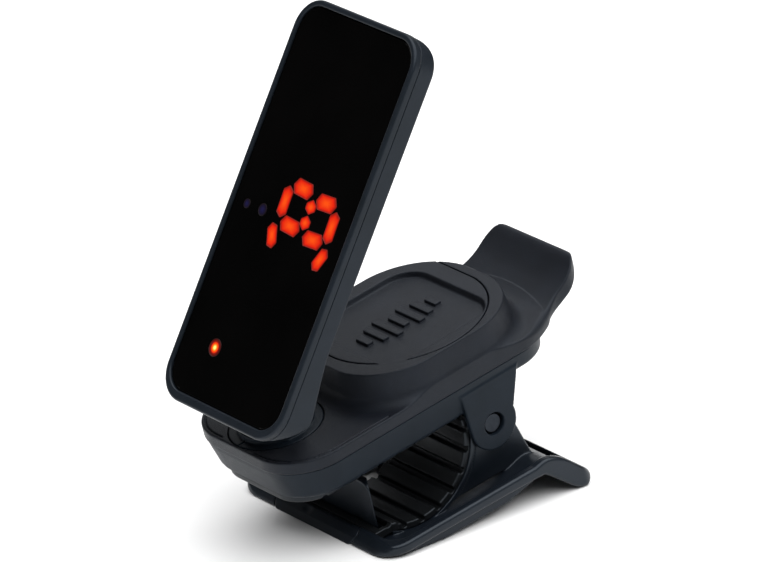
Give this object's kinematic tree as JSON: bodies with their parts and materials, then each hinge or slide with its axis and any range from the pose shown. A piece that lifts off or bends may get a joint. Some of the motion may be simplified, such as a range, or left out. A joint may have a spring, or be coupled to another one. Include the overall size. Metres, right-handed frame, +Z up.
{
  "type": "clip on tuner",
  "caption": "Spring-jaw clip with a ribbed soft cradle, a raised battery housing under a sliding lid, and a slim display that swivels and tilts to show the note.",
  "frame": {"origin": "centre of the footprint box, on the surface the clip lies on", "axes": "+Z up, +X from the nose towards the thumb tab, +Y across the clip along the jaw pivot"},
  "size_m": [0.0579, 0.036, 0.0716],
  "materials": {
    "jaw_plastic": "fine satin texture",
    "pad_rubber": "matt moulded rubber",
    "housing_plastic": "fine spark-eroded texture",
    "shell_plastic": "fine spark-eroded texture",
    "lid_plastic": "fine spark-eroded texture",
    "bezel_plastic": "smooth satin",
    "display_shell_plastic": "smooth satin",
    "window_glass": "polished dark smoke",
    "steel": "bright steel",
    "spring_steel": "spring wire",
    "cell_steel": "nickel plated",
    "contact_brass": "gold flashed",
    "board": "solder mask",
    "piezo": "brass with silvered ceramic",
    "mask_plastic": "light-tight black",
    "led_red": "lit red",
    "led_lens": "lit lens",
    "button_plastic": "satin"
  },
  "bodies": {
    "lower_jaw": {"lower_jaw_frame": "jaw_plastic", "nose_insert": "jaw_plastic", "lower_pad": "pad_rubber", "jaw_pin": "steel", "jaw_spring": "spring_steel"},
    "upper_jaw": {"upper_housing": "housing_plastic", "lower_shell": "shell_plastic", "upper_pad": "pad_rubber", "coin_cell": "cell_steel", "contact_minus": "contact_brass", "contact_plus": "contact_brass", "main_board": "board", "piezo_sensor": "piezo", "housing_screws": "steel"},
    "lid": {"battery_lid": "lid_plastic"},
    "swivel": {"swivel_disc": "shell_plastic", "swivel_washer": "steel", "swivel_screw": "steel", "hinge_pin": "steel"},
    "display": {"display_back": "display_shell_plastic", "display_bezel": "bezel_plastic", "display_window": "window_glass", "light_mask": "mask_plastic", "note_segments": "led_red", "meter_leds": "led_lens", "display_board": "board", "switch_dome": "steel", "display_screws": "steel"},
    "button": {"power_button": "button_plastic"}
  },
  "joints": [
    {"name": "jaw_hinge", "type": "hinge", "parent": "lower_jaw", "child": "upper_jaw", "pos_m": [0.00885, 0, 0.01218], "axis": [0, 1, 0], "range_deg": [0, 28], "stiffness_Nm_per_rad": 0.12, "springref_deg": -51.57, "deforming": ["jaw_spring"]},
    {"name": "swivel_turn", "type": "hinge", "parent": "upper_jaw", "child": "swivel", "pos_m": [-0.01868, 0, 0.01731], "axis": [-0.1762, 0, 0.9843], "range_deg": [-60, 60]},
    {"name": "display_tilt", "type": "hinge", "parent": "swivel", "child": "display", "pos_m": [-0.01999, 0, 0.02236], "axis": [0, 1, 0], "range_deg": [-26, 45]},
    {"name": "lid_slide", "type": "slide", "parent": "upper_jaw", "child": "lid", "axis": [0, 1, 0], "range_m": [0, 0.008]},
    {"name": "button_press", "type": "slide", "parent": "display", "child": "button", "axis": [-0.8522, 0, 0.5232], "range_m": [0, 0.00025], "stiffness_N_per_m": 1500}
  ]
}
